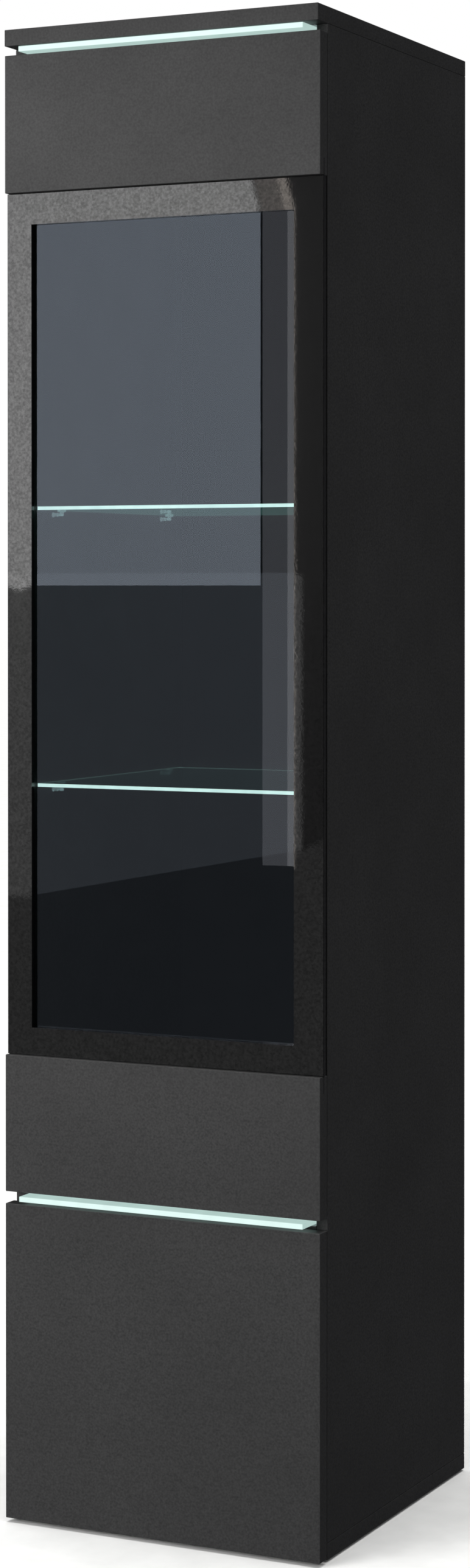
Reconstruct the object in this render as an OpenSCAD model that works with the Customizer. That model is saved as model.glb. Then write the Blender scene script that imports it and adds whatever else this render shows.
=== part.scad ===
// Tall china cabinet: a glass door over a solid door on one carcass, with a lit glass bar over each door.
// Frame: +X to the right, -Y is the front, +Z is up. The origin is on the floor under the middle.

/* [Overall] */
// Width across the side panels
body_w = 461; // [380:1:620]
// Height of the carcass, without its glides
body_h = 2000; // [1640:1:2400]
// Depth from the top board's front edge to the rear
cab_d = 504; // [400:1:620]

/* [Boards] */
// Thickness of the top and bottom boards
cover_t = 22; // [18:1:28]
// Thickness of the side panels
side_t = 16; // [15:0.1:20]
// Thickness of the divider between the compartments
divider_t = 22; // [20:1:28]
// Thickness of the rail under the top board
rail_t = 16; // [15:0.5:22]
// Depth of the rail under the top board
rail_d = 80; // [60:1:120]
// Thickness of the back panel
back_t = 3; // [3:0.5:5]
// Distance from the rear edges to the back panel
back_inset = 8; // [6:1:15]
// Depth of the groove that holds the back panel
groove_depth = 6; // [4:0.5:8]
// Chamfer along the edges of the boards
edge_c = 0.8; // [0.3:0.1:2]

/* [Doors] */
// Thickness of the door panels
door_t = 22; // [20:0.5:26]
// Gap between a closed door and the carcass
door_gap = 5; // [4.5:0.1:6]
// How far a door reaches past the side panel, on each side
door_side_overhang = 1.5; // [0:0.1:3]
// How far the top board reaches past the doors' fronts
top_overhang = 3.5; // [0:0.1:10]
// Height of the lower door
lower_door_h = 424; // [350:1:560]
// Gap from the lower door's edge to the underside of the bottom board
bottom_gap = 3; // [0:0.5:10]
// Gap between the two doors
mid_gap = 16; // [14:0.5:24]
// Gap between the upper door and the top board
top_gap = 12; // [10:0.5:20]

/* [Glass door] */
// Height of the solid panel at the top and at the bottom of the glass door
band_h = 184; // [172:1:260]
// Set-back of the black frame behind the panels' fronts
frame_set_back = 8.5; // [6:0.1:9]
// Thickness of the black frame
frame_t = 7; // [6:0.1:8]
// How far the black frame reaches past the panels' ends, on each side
frame_side_overhang = 1; // [0:0.1:3]
// Width of the frame's left border
border_left = 37; // [30:0.5:60]
// Width of the frame's right border
border_right = 42; // [30:0.5:60]
// Height of the frame's border at the top
border_top = 42; // [30:0.5:60]
// Height of the frame's border at the bottom
border_bottom = 37; // [30:0.5:60]
// Seam between the frame and a panel
seam = 0.3; // [0.1:0.1:1]
// Thickness of the tongue that joins the frame to a panel
tongue_t = 2.6; // [2:0.1:3.5]
// Height of the tongue
tongue_h = 22; // [12:0.5:24]
// Thickness of the glass pane
pane_t = 4; // [3:0.5:4]
// How far the pane laps over the frame
pane_lap = 12; // [8:0.5:20]
// Thickness of the gasket between frame and pane
gasket_t = 0.5; // [0.3:0.1:1]

/* [Glass shelves] */
// Thickness of a glass shelf
shelf_t = 5; // [4:0.5:8]
// Gap between a glass shelf and the side panel
shelf_side_gap = 1.5; // [1:0.1:4]
// Set-back of the glass shelves behind the carcass front
shelf_front_inset = 29; // [20:1:60]
// Gap between a glass shelf and the back panel
shelf_back_gap = 12; // [5:1:40]
// Height of the lower glass shelf over the divider
lower_shelf_rise = 538; // [300:1:600]
// Height of the upper glass shelf over the divider
upper_shelf_rise = 913; // [640:1:980]
// Radius of the pad on a shelf support
pad_r = 6; // [4:0.5:9]

/* [Light bars] */
// Height of a light bar
bar_t = 7; // [5:0.5:8]
// Distance from a light bar's end to the door's edge
bar_end_inset = 23; // [19:1:60]
// Gap between the lower light bar and the lower door
lower_bar_rise = 4; // [3:0.1:6]
// Gap between the upper light bar and the top board
top_bar_drop = 1.2; // [1.2:0.1:3]
// Length of a light bar inside its channel
bar_insert = 18; // [10:1:30]
// Wall of the light channel
channel_wall = 1; // [0.8:0.1:1]
// Distance between the light sources of a strip
led_pitch = 16.7; // [10:0.1:40]

/* [Hinges] */
// Distance from the lower door's top and bottom edges to its hinges
lower_hinge_inset = 90; // [60:1:120]
// Distance from the carcass side to the middle of a hinge cup
cup_x = 18.5; // [18:0.5:20]
// Radius of a hinge cup
cup_r = 17.5; // [17.5:0.5:20]
// Depth of a hinge cup
cup_d = 12; // [11:0.5:13]
// Radius of a hinge rivet
rivet_r = 1.5; // [1:0.1:2]

/* [Latches and feet] */
// Height of a glide
glide_h = 3; // [2:0.5:8]
// Radius of a glide
glide_r = 11; // [8:0.5:18]
// Distance from the carcass edges to a glide's middle
glide_inset = 32; // [20:1:60]
// Radius of a push-latch plunger
plunger_r = 4; // [3:0.1:5]
// Travel of a plunger when a door is pressed
press_travel = 3; // [2:0.1:3.5]

/* [Hidden] */
$fn = 48;

// Fits and small hardware
fit = 0.1;              // general clearance round a piece that sits in a cut
run_fit = 0.05;         // radial clearance of a turning or sliding piece
far = 1000;             // longer than any cut needs

// Main planes
hw = body_w / 2;
door_hw = hw + door_side_overhang;
frame_hw = door_hw + frame_side_overhang;
inner_hw = hw - side_t;
y_top_front = -cab_d / 2;
y_rear = cab_d / 2;
y_door = y_top_front + top_overhang;
y_door_back = y_door + door_t;
y_body = y_door_back + door_gap;
y_back_panel = y_rear - back_inset - back_t;
z_base = glide_h;
z_floor = z_base + cover_t;
z_roof = z_base + body_h - cover_t;
z_top = z_base + body_h;
z_lower_door = z_base + bottom_gap;
z_lower_door_top = z_lower_door + lower_door_h;
z_upper_door = z_lower_door_top + mid_gap;
z_upper_door_top = z_roof - top_gap;
z_divider = z_lower_door_top + (mid_gap - divider_t) / 2;
z_divider_top = z_divider + divider_t;
z_rail = z_roof - rail_t;

// Glass door
z_frame = z_upper_door + band_h + seam;
z_frame_top = z_upper_door_top - band_h - seam;
y_frame = y_door + frame_set_back;
y_frame_back = y_frame + frame_t;
y_tongue = y_frame + 2;
y_pane = y_frame_back + gasket_t;
win_x0 = -frame_hw + border_left;
win_x1 = frame_hw - border_right;
win_z0 = z_frame + border_bottom;
win_z1 = z_frame_top - border_top;
z_bottom_band_mid = z_upper_door + band_h / 2;
z_top_band_mid = z_upper_door_top - band_h / 2;

// Light bars: a bar, its U-shaped channel and the strip on the channel's web
bar_hw = door_hw - bar_end_inset;
y_bar_end = y_body + bar_insert;
strip_gap = 3;
strip_t = 1.2;
led_side = 5;
led_t = 1.5;
strip_h = bar_t - 0.4;
channel_in_h = bar_t + 4 * fit;
channel_h = channel_in_h + 2 * channel_wall;
channel_d = bar_insert + strip_gap + led_t + strip_t + channel_wall;
z_top_bar = z_roof - top_bar_drop - bar_t;
z_lower_bar = z_lower_door_top + lower_bar_rise;

// Shelves
z_lower_shelf = z_divider_top + lower_shelf_rise;
z_upper_shelf = z_divider_top + upper_shelf_rise;
shelf_hw = inner_hw - shelf_side_gap;
y_shelf = y_body + shelf_front_inset;
y_shelf_end = y_back_panel - shelf_back_gap;
pad_t = 2;
peg_r = 2.5;
peg_in = 8;
peg_drop = 1;           // between the pad's underside and the peg
support_rim = 0.5;      // wall plate past the peg, and neck past the pad
support_plate_w = 8;
support_plate_t = 2;
support_post_r = 3;
support_post_past = 2;  // post below the peg's middle
support_neck_r = 1.8;
support_front = 45;     // in from the glass's front edge
support_back = 55;      // in from its back edge
support_ys = [y_shelf + support_front, y_shelf_end - support_back];
support_xs = 14;

// Hinges. Local frame: X from the side panel's outer face, Y from the carcass front, Z at the hinge.
cup_screw_z = 24;
hinge_inset = tongue_h + cup_screw_z + 4;           // keeps the cup screws off the frame's tongue
hinge_spread = band_h - 2 * hinge_inset;
upper_hinge_zs = [z_bottom_band_mid - hinge_spread / 2, z_bottom_band_mid + hinge_spread / 2,
    z_top_band_mid - hinge_spread / 2, z_top_band_mid + hinge_spread / 2];
lower_hinge_zs = [z_lower_door + lower_hinge_inset, z_lower_door_top - lower_hinge_inset];
arm_pivot = [cup_x + 10.5, -2];                     // rivet that joins the arm and the link
cup_pivot = [cup_x - 9.5, -door_gap - 3.2];         // rivet that joins the link and the cup
link_bend = [cup_pivot[0] + 6.4, cup_pivot[1] + 0.4];  // corner of the cranked link
link_w = 4;
link_h = 10;
eye_r = 3;
cheek_t = 2;
cheek_gap = 0.3;
arm_h = link_h + 2 * (cheek_gap + cheek_t);
plate_t = 3;
plate_y0 = 20;
plate_len = 44;
plate_h = 48;
plate_screw_y = 37;
plate_screw_z = 16;
arm_end_y = 62;
cup_wall = 1.2;
flange_t = 1.2;
flange_w = 24;
flange_h = 62;

// Push latches, on the right side panel
latch_w = 14;
latch_h = 16;
latch_len = 60;
latch_set = 3;
ear_h = 12;
ear_t = 3;
ear_w = 16;
strike_t = 1;
strike_r = 8;
tip_gap = 0.5;
plunger_in = 34;
plunger_bore = 42;
latch_x = inner_hw - latch_w / 2;
latch_zs = [z_top_band_mid, z_bottom_band_mid, z_lower_door + lower_door_h / 2];

// Knock-down fittings. Local frame: +Z from the board face along the bolt, +X to the cam's face.
cam_r = 7.5;
cam_depth = 12.5;
cam_set = 24;
cam_bolt_r = 3;
cam_bolt_in = 11;
cam_bolt_past = 1;      // how far a bolt's end reaches past the middle of its cam
cam_access = 20;
dowel_r = 4;
dowel_in = 11;
dowel_out = 18;
cam_inset = 60;
dowel_inset = 100;
cam_ys = [y_body + cam_inset, y_back_panel - cam_inset];
dowel_ys = [y_body + dowel_inset, y_back_panel - dowel_inset];
rail_dowel_inset = 30;
rail_dowel_ys = [y_body + rail_d - rail_dowel_inset];

// Driver, grommet, bracket
driver_size = [110, 42, 22];
driver_side = 150;      // from the right side panel to the driver's far end
driver_back = 60;       // from the back panel to the driver's front
driver_lo = [inner_hw - driver_side, y_back_panel - driver_back, z_roof - driver_size[2]];
inlet_r = 2.8;
grommet_r = 12;
grommet_bore_r = 9;
grommet_side = 60;
grommet_drop = 70;
grommet_x = inner_hw - grommet_side;
grommet_z = z_roof - grommet_drop;
bracket_w = 30;
bracket_leg = 40;
bracket_t = 2;
bracket_z = z_roof;
wall_hole_r = 2.75;
wall_hole_drop = 24;
screw_r = 1.75;
screw_head_r = 3.5;
screw_head_t = 2;
screw_len = 12;
screw_clear = 0.2;

// ---- shared shapes ----

// Outline of a rectangle with cut corners
module cut_rect(a, b, c) {
    polygon([[a[0] + c, a[1]], [b[0] - c, a[1]], [b[0], a[1] + c], [b[0], b[1] - c],
        [b[0] - c, b[1]], [a[0] + c, b[1]], [a[0], b[1] - c], [a[0], a[1] + c]]);
}

// Board between two corners, chamfered along all its edges
module board(lo, hi, c = edge_c) {
    intersection() {
        translate([0, 0, lo[2]]) linear_extrude(hi[2] - lo[2])
            cut_rect([lo[0], lo[1]], [hi[0], hi[1]], c);
        translate([0, hi[1], 0]) rotate([90, 0, 0]) linear_extrude(hi[1] - lo[1])
            cut_rect([lo[0], lo[2]], [hi[0], hi[2]], c);
        translate([lo[0], 0, 0]) rotate([90, 0, 90]) linear_extrude(hi[0] - lo[0])
            cut_rect([lo[1], lo[2]], [hi[1], hi[2]], c);
    }
}

module block(lo, hi) {
    translate(lo) cube(hi - lo);
}

// Round bar along Y from y0 to y1
module bar_y(x, y0, y1, z, r) {
    translate([x, y1, z]) rotate([90, 0, 0]) cylinder(r = r, h = y1 - y0);
}

// Round bar along X from x0 to x1
module bar_x(x0, x1, y, z, r) {
    translate([x0, y, z]) rotate([0, 90, 0]) cylinder(r = r, h = x1 - x0);
}

// Pan-head screw that points down -Z, with its head's seat at z = 0
module screw(len = screw_len) {
    translate([0, 0, -len]) cylinder(r = screw_r, h = len + screw_head_t / 2);
    difference() {
        cylinder(r = screw_head_r, h = screw_head_t);
        translate([-0.4, -2.2, screw_head_t - 0.8]) cube([0.8, 4.4, 2]);
        translate([-2.2, -0.4, screw_head_t - 0.8]) cube([4.4, 0.8, 2]);
    }
}

module screw_hole(len = screw_len) {
    translate([0, 0, -len - 0.5]) cylinder(r = screw_r + run_fit, h = len + 1.5);
}

// ---- places ----

// The four corner joints of the bottom board or the top board, and of the divider
module at_bottom_joints(ys) {
    for (side = [0, 1]) mirror([side, 0, 0])
        for (y = ys) translate([-hw + side_t / 2, y, z_floor]) children();
}
module at_top_joints(ys) {
    for (side = [0, 1]) mirror([side, 0, 0])
        for (y = ys) translate([-hw + side_t / 2, y, z_roof]) mirror([0, 0, 1]) children();
}
module at_divider_joints(ys) {
    for (side = [0, 1]) mirror([side, 0, 0])
        for (y = ys) translate([-inner_hw, y, z_divider + divider_t / 2]) rotate([0, 90, 0]) children();
}
module at_rail_joints(ys) {
    for (side = [0, 1]) mirror([side, 0, 0])
        for (y = ys) translate([-inner_hw, y, z_rail + rail_t / 2]) rotate([0, 90, 0]) children();
}
module at_hinges(zs) {
    for (z = zs) translate([-hw, y_body, z]) children();
}
module at_plate_screws() {
    for (s = [-1, 1]) translate([side_t, plate_screw_y, s * plate_screw_z]) rotate([0, 90, 0]) children();
}
module at_cup_screws() {
    for (s = [-1, 1]) translate([cup_x, -door_gap, s * cup_screw_z]) rotate([-90, 0, 0]) children();
}
module at_latches() {
    for (z = latch_zs) translate([latch_x, y_body + latch_set, z]) children();
}
module at_latch_screws() {
    for (s = [-1, 1]) translate([latch_w / 2 - ear_t, latch_len / 2, s * (latch_h + ear_h) / 2])
        rotate([0, -90, 0]) children();
}
module at_supports(z) {
    for (side = [0, 1]) mirror([side, 0, 0])
        for (y = support_ys) translate([-inner_hw, y, z]) children();
}
module at_glides() {
    for (sx = [-1, 1], y = [y_body + glide_inset, y_rear - glide_inset])
        translate([sx * (hw - glide_inset), y, 0]) children();
}
module at_back_screws() {
    for (x = [-inner_hw + 60, 0, inner_hw - 60])
        translate([x, y_back_panel + back_t, z_divider + divider_t / 2]) rotate([-90, 0, 0]) children();
}
module at_driver_screws() {
    for (s = [-1, 1]) translate([driver_lo[0] + driver_size[0] / 2 + s * (driver_size[0] / 2 + 5),
        driver_lo[1] + driver_size[1] / 2, z_roof - 2]) mirror([0, 0, 1]) children();
}

// ---- cuts that a fitting makes in the boards ----

module cam_hole() {
    translate([side_t / 2 - cam_depth - fit, 0, cam_set]) rotate([0, 90, 0])
        cylinder(r = cam_r + fit, h = cam_access);
}
module cam_bolt_path() {
    cylinder(r = cam_bolt_r + 2 * fit, h = cam_set + cam_bolt_past + fit);
}
module cam_bolt_hole() {
    translate([0, 0, -cam_bolt_in - fit]) cylinder(r = cam_bolt_r + run_fit, h = cam_bolt_in + 1);
}
module dowel_hole() {
    translate([0, 0, -dowel_in - fit]) cylinder(r = dowel_r + run_fit, h = dowel_in + dowel_out + 2 * fit);
}
module divider_cam_hole() {
    translate([divider_t / 2 - cam_depth - fit, 0, cam_set]) rotate([0, 90, 0])
        cylinder(r = cam_r + fit, h = cam_access);
}
module back_groove() {
    block([-inner_hw - groove_depth, y_back_panel - fit, z_floor - groove_depth],
        [inner_hw + groove_depth, y_back_panel + back_t + fit, z_roof + groove_depth]);
}
module peg_hole() {
    bar_x(-peg_in - fit, 1, 0, -pad_t - peg_r - 1, peg_r + run_fit);
}

// ---- carcass boards ----

module top_board() {
    color("#3a3a3a") difference() {
        board([-hw, y_top_front, z_roof], [hw, y_rear, z_top]);
        back_groove();
        at_top_joints(cam_ys) cam_bolt_hole();
        at_top_joints(dowel_ys) dowel_hole();
        at_driver_screws() screw_hole();
        bracket_place() translate([0, 0, -bracket_t]) mirror([0, 0, 1]) screw_hole();
    }
}
module bottom_board() {
    color("#303030") difference() {
        board([-hw, y_body, z_base], [hw, y_rear, z_floor]);
        back_groove();
        at_bottom_joints(cam_ys) cam_bolt_hole();
        at_bottom_joints(dowel_ys) dowel_hole();
        at_glides() translate([0, 0, glide_h]) cylinder(r = 1 + run_fit, h = 10 + fit);
    }
}
module side_panel_blank() {
    difference() {
        board([-hw, y_body, z_floor], [-inner_hw, y_rear, z_roof]);
        back_groove();
    }
}
module side_cuts() {
    at_bottom_joints(cam_ys) cam_hole();
    at_bottom_joints(cam_ys) cam_bolt_path();
    at_bottom_joints(dowel_ys) dowel_hole();
    at_top_joints(cam_ys) cam_hole();
    at_top_joints(cam_ys) cam_bolt_path();
    at_top_joints(dowel_ys) dowel_hole();
    at_divider_joints(cam_ys) cam_bolt_hole();
    at_divider_joints(dowel_ys) dowel_hole();
    at_rail_joints(rail_dowel_ys) dowel_hole();
    at_supports(z_lower_shelf) peg_hole();
    at_supports(z_upper_shelf) peg_hole();
}
module left_side_panel() {
    color("#2b2b2b") difference() {
        side_panel_blank();
        side_cuts();
        at_hinges(concat(upper_hinge_zs, lower_hinge_zs)) at_plate_screws() screw_hole();
    }
}
module right_side_panel() {
    color("#262626") difference() {
        mirror([1, 0, 0]) side_panel_blank();
        side_cuts();
        at_latches() at_latch_screws() screw_hole(screw_len + ear_t);
    }
}
module back_panel() {
    slack = 0.5;
    color("#202020") difference() {
        block([-inner_hw - groove_depth + slack, y_back_panel, z_floor - groove_depth + slack],
            [inner_hw + groove_depth - slack, y_back_panel + back_t, z_roof + groove_depth - slack]);
        bar_y(grommet_x, y_back_panel - 1, y_rear, grommet_z, grommet_r + fit);
        at_back_screws() screw_hole(16);
        bar_y(0, y_back_panel - 1, y_rear, z_roof - wall_hole_drop, wall_hole_r + 1);
    }
}
module divider_board() {
    color("#2b2b2b") difference() {
        board([-inner_hw, y_body, z_divider], [inner_hw, y_back_panel - fit, z_divider_top]);
        block([-far, -far, z_lower_bar + bar_t / 2 - channel_h / 2 - fit],
            [far, y_body + channel_d + fit, z_lower_bar + bar_t / 2 + channel_h / 2 + fit]);
        at_divider_joints(cam_ys) divider_cam_hole();
        at_divider_joints(cam_ys) cam_bolt_path();
        at_divider_joints(dowel_ys) dowel_hole();
        at_back_screws() screw_hole(16);
    }
}
module top_rail() {
    color("#2b2b2b") difference() {
        board([-inner_hw, y_body, z_rail], [inner_hw, y_body + rail_d, z_roof]);
        block([-far, -far, z_top_bar + bar_t / 2 - channel_h / 2 - fit],
            [far, y_body + channel_d + fit, z_roof + 1]);
        at_rail_joints(rail_dowel_ys) dowel_hole();
    }
}

// ---- glass shelves and supports ----

module glass_shelf(z) {
    color([0.7, 0.95, 0.9, 0.5])
        board([-shelf_hw, y_shelf, z], [shelf_hw, y_shelf_end, z + shelf_t], 0.5);
}
module lower_glass_shelf() glass_shelf(z_lower_shelf);
module upper_glass_shelf() glass_shelf(z_upper_shelf);

// Peg in the side panel, an arm under the glass and a round pad
module shelf_support() {
    peg_z = -pad_t - peg_r - peg_drop;
    bar_x(-peg_in, support_xs - pad_r, 0, peg_z, peg_r);
    block([0, -support_plate_w / 2, peg_z - peg_r - support_rim],
        [support_plate_t, support_plate_w / 2, -pad_t]);
    translate([support_xs, 0, peg_z - support_post_past])
        cylinder(r = support_post_r, h = -peg_z + support_post_past - pad_t / 2);
    translate([support_xs, 0, -pad_t]) cylinder(r = pad_r, h = pad_t);
    bar_x(support_xs - pad_r - support_rim, support_xs, 0, peg_z, support_neck_r);
}
module lower_shelf_supports() color([0.8, 0.95, 0.95, 0.6]) at_supports(z_lower_shelf) shelf_support();
module upper_shelf_supports() color([0.8, 0.95, 0.95, 0.6]) at_supports(z_upper_shelf) shelf_support();

// ---- lights ----

module light_bar(z) {
    color("#e6fffa") board([-bar_hw, y_top_front, z], [bar_hw, y_bar_end, z + bar_t], 0.4);
}
module light_channel(z) {
    mid = z + bar_t / 2;
    color("silver") difference() {
        block([-inner_hw + 0.5, y_body, mid - channel_h / 2],
            [inner_hw - 0.5, y_body + channel_d, mid + channel_h / 2]);
        block([-far, y_body - 1, mid - channel_in_h / 2],
            [far, y_body + channel_d - channel_wall, mid + channel_in_h / 2]);
    }
}
module led_strip(z) {
    y_strip = y_body + channel_d - channel_wall - strip_t;
    count = floor(2 * bar_hw / led_pitch);
    color("white") {
        block([-bar_hw, y_strip, z + (bar_t - strip_h) / 2],
            [bar_hw, y_strip + strip_t, z + (bar_t + strip_h) / 2]);
        for (i = [0 : count - 1]) {
            x = (i - (count - 1) / 2) * led_pitch;
            block([x - led_side / 2, y_strip - led_t, z + (bar_t - led_side) / 2],
                [x + led_side / 2, y_strip + 0.1, z + (bar_t + led_side) / 2]);
        }
    }
}
module top_light_bar() light_bar(z_top_bar);
module lower_light_bar() light_bar(z_lower_bar);
module top_light_channel() light_channel(z_top_bar);
module lower_light_channel() light_channel(z_lower_bar);
module top_led_strip() led_strip(z_top_bar);
module lower_led_strip() led_strip(z_lower_bar);

module led_driver() {
    inlet_depth = 9;
    color("#f0f0f0") difference() {
        union() {
            board(driver_lo, driver_lo + driver_size, 1.5);
            block([driver_lo[0] - 10, driver_lo[1] + driver_size[1] / 2 - 8, z_roof - 2],
                [driver_lo[0] + driver_size[0] + 10, driver_lo[1] + driver_size[1] / 2 + 8, z_roof]);
        }
        bar_x(driver_lo[0] + driver_size[0] - inlet_depth, driver_lo[0] + driver_size[0] + 1,
            driver_lo[1] + driver_size[1] / 2, z_roof - driver_size[2] / 2, inlet_r);
        at_driver_screws() translate([0, 0, -3]) cylinder(r = screw_r + screw_clear, h = 6);
    }
}
module driver_screws() color("silver") at_driver_screws() screw();

// Grommet: a sleeve through the back panel with a flange on each side
module cable_grommet() {
    lip = 1.5;
    color("#151515") difference() {
        union() {
            bar_y(grommet_x, y_back_panel - lip, y_back_panel + back_t + lip, grommet_z, grommet_r);
            bar_y(grommet_x, y_back_panel - lip, y_back_panel, grommet_z, grommet_r + 2);
            bar_y(grommet_x, y_back_panel + back_t, y_back_panel + back_t + lip, grommet_z, grommet_r + 2);
        }
        bar_y(grommet_x, y_back_panel - 10, y_rear, grommet_z, grommet_bore_r);
    }
}

// ---- hinges ----

module hinge_plates() {
    color("silver") at_hinges(concat(upper_hinge_zs, lower_hinge_zs)) difference() {
        board([side_t, plate_y0, -plate_h / 2], [side_t + plate_t, plate_y0 + plate_len, plate_h / 2], 0.5);
        at_plate_screws() translate([0, 0, -1]) cylinder(r = screw_r + screw_clear, h = plate_t + 2);
    }
}
module hinge_plate_screws() {
    color("silver") at_hinges(concat(upper_hinge_zs, lower_hinge_zs))
        at_plate_screws() translate([0, 0, plate_t]) screw(screw_len + plate_t);
}
// Arm: a block on the plate, and two cheeks that hold the rivet
module hinge_arms() {
    color("silver") at_hinges(concat(upper_hinge_zs, lower_hinge_zs)) {
        difference() {
            union() {
                translate([0, 0, -arm_h / 2]) linear_extrude(arm_h) {
                    translate(arm_pivot) circle(r = eye_r + 0.8);
                    polygon([[arm_pivot[0] - eye_r - 0.8, arm_pivot[1]],
                        [arm_pivot[0] + eye_r + 0.8, arm_pivot[1]],
                        [arm_pivot[0] + eye_r + 0.8, arm_end_y], [side_t + plate_t, arm_end_y],
                        [side_t + plate_t, plate_y0]]);
                }
            }
            // Slot for the link between the cheeks
            translate([side_t + plate_t - 1, -far, -link_h / 2 - cheek_gap])
                cube([far, far + arm_pivot[1] + eye_r + 1.5, link_h + 2 * cheek_gap]);
        }
        translate([arm_pivot[0], arm_pivot[1], -arm_h / 2]) cylinder(r = rivet_r, h = arm_h);
    }
}
module hinge_link() {
    dir_a = arm_pivot - link_bend;
    dir_c = cup_pivot - link_bend;
    na = [-dir_a[1], dir_a[0]] / norm(dir_a) * link_w / 2;
    nc = [-dir_c[1], dir_c[0]] / norm(dir_c) * link_w / 2;
    difference() {
        translate([0, 0, -link_h / 2]) linear_extrude(link_h) {
            translate(arm_pivot) circle(r = eye_r);
            translate(cup_pivot) circle(r = eye_r);
            translate(link_bend) circle(r = link_w / 2);
            polygon([arm_pivot + na, link_bend + na, link_bend - na, arm_pivot - na]);
            polygon([cup_pivot + nc, link_bend + nc, link_bend - nc, cup_pivot - nc]);
        }
        for (p = [arm_pivot, cup_pivot])
            translate([p[0], p[1], -link_h]) cylinder(r = rivet_r + run_fit, h = 2 * link_h);
    }
}
module upper_hinge_links() color("silver") at_hinges(upper_hinge_zs) hinge_link();
module lower_hinge_links() color("silver") at_hinges(lower_hinge_zs) hinge_link();

// Cup: a pot in the door with a flange on the door's back and a rivet across the pot
module hinge_cup() {
    difference() {
        union() {
            bar_y(cup_x, -door_gap - cup_d, -door_gap + 0.1, 0, cup_r);
            board([cup_x - flange_w / 2, -door_gap, -flange_h / 2],
                [cup_x + flange_w / 2, -door_gap + flange_t, flange_h / 2], 0.4);
            bar_y(cup_x, -door_gap, -door_gap + flange_t, 0, cup_r + 1);
        }
        bar_y(cup_x, -door_gap - cup_d + cup_wall, far, 0, cup_r - cup_wall);
        at_cup_screws() translate([0, 0, -1]) cylinder(r = screw_r + screw_clear, h = 4);
    }
    intersection() {
        translate([cup_pivot[0], cup_pivot[1], -cup_r]) cylinder(r = rivet_r, h = 2 * cup_r);
        bar_y(cup_x, -door_gap - cup_d, -door_gap, 0, cup_r - cup_wall / 2);
    }
}
module cup_recess() {
    bar_y(cup_x, -door_gap - cup_d - fit, far, 0, cup_r + fit);
    at_cup_screws() screw_hole();
}
module cup_screws() at_cup_screws() translate([0, 0, flange_t]) screw();
module upper_hinge_cups() color("silver") at_hinges(upper_hinge_zs) hinge_cup();
module lower_hinge_cups() color("silver") at_hinges(lower_hinge_zs) hinge_cup();
module upper_cup_screws() color("silver") at_hinges(upper_hinge_zs) cup_screws();
module lower_cup_screws() color("silver") at_hinges(lower_hinge_zs) cup_screws();

// ---- push latches ----

module latch_housings() {
    color("#1c1c1c") at_latches() difference() {
        union() {
            board([-latch_w / 2, 0, -latch_h / 2], [latch_w / 2, latch_len, latch_h / 2], 0.8);
            block([latch_w / 2 - ear_t, (latch_len - ear_w) / 2, -latch_h / 2 - ear_h],
                [latch_w / 2, (latch_len + ear_w) / 2, latch_h / 2 + ear_h]);
        }
        bar_y(0, -1, plunger_bore, 0, plunger_r + run_fit);
        at_latch_screws() translate([0, 0, -ear_t - 1]) cylinder(r = screw_r + screw_clear, h = ear_t + 2);
    }
}
module latch_screws() color("silver") at_latches() at_latch_screws() screw(screw_len + ear_t);
module plunger(z) {
    y_tip = y_door_back + strike_t + tip_gap;
    color("#d8d8d8") {
        bar_y(latch_x, y_tip + 2, y_body + latch_set + plunger_in, z, plunger_r);
        bar_y(latch_x, y_tip, y_tip + 2.1, z, plunger_r - 0.8);
    }
}
module upper_door_top_plunger() plunger(latch_zs[0]);
module upper_door_bottom_plunger() plunger(latch_zs[1]);
module lower_door_plunger() plunger(latch_zs[2]);
module strike(z) bar_y(latch_x, y_door_back, y_door_back + strike_t, z, strike_r);
module upper_strike_plates() color("silver") {
    strike(latch_zs[0]);
    strike(latch_zs[1]);
}
module lower_strike_plate() color("silver") strike(latch_zs[2]);

// ---- fittings ----

module cam_lock(depth) {
    difference() {
        rotate([0, -90, 0]) cylinder(r = cam_r, h = cam_depth);
        translate([-depth, 0, -cam_r - 1]) cylinder(r = cam_bolt_r + 2 * fit, h = cam_r + 3);
        translate([-1.2, -0.6, -4]) cube([3, 1.2, 8]);
        translate([-1.2, -4, -0.6]) cube([3, 8, 1.2]);
    }
}
module cam_locks() color("#9a9a9a") {
    at_bottom_joints(cam_ys) translate([side_t / 2, 0, cam_set]) cam_lock(side_t / 2);
    at_top_joints(cam_ys) translate([side_t / 2, 0, cam_set]) cam_lock(side_t / 2);
    at_divider_joints(cam_ys) translate([divider_t / 2, 0, cam_set]) cam_lock(divider_t / 2);
}
module cam_bolt() {
    translate([0, 0, -cam_bolt_in]) cylinder(r = cam_bolt_r, h = cam_bolt_in + cam_set + cam_bolt_past);
}
module cam_bolts() color("#b5a060") {
    at_bottom_joints(cam_ys) cam_bolt();
    at_top_joints(cam_ys) cam_bolt();
    at_divider_joints(cam_ys) cam_bolt();
}
module dowel() translate([0, 0, -dowel_in]) cylinder(r = dowel_r, h = dowel_in + dowel_out);
module dowels() color("burlywood") {
    at_bottom_joints(dowel_ys) dowel();
    at_top_joints(dowel_ys) dowel();
    at_divider_joints(dowel_ys) dowel();
    at_rail_joints(rail_dowel_ys) dowel();
}
module back_panel_screws() color("silver") at_back_screws() screw(16);
module glides() {
    color("#202020") at_glides() {
        cylinder(r1 = glide_r - 1, r2 = glide_r, h = 1);
        translate([0, 0, 1]) cylinder(r = glide_r, h = glide_h - 1);
        translate([0, 0, glide_h - 0.5]) cylinder(r = 1, h = 10.5);
    }
}

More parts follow.
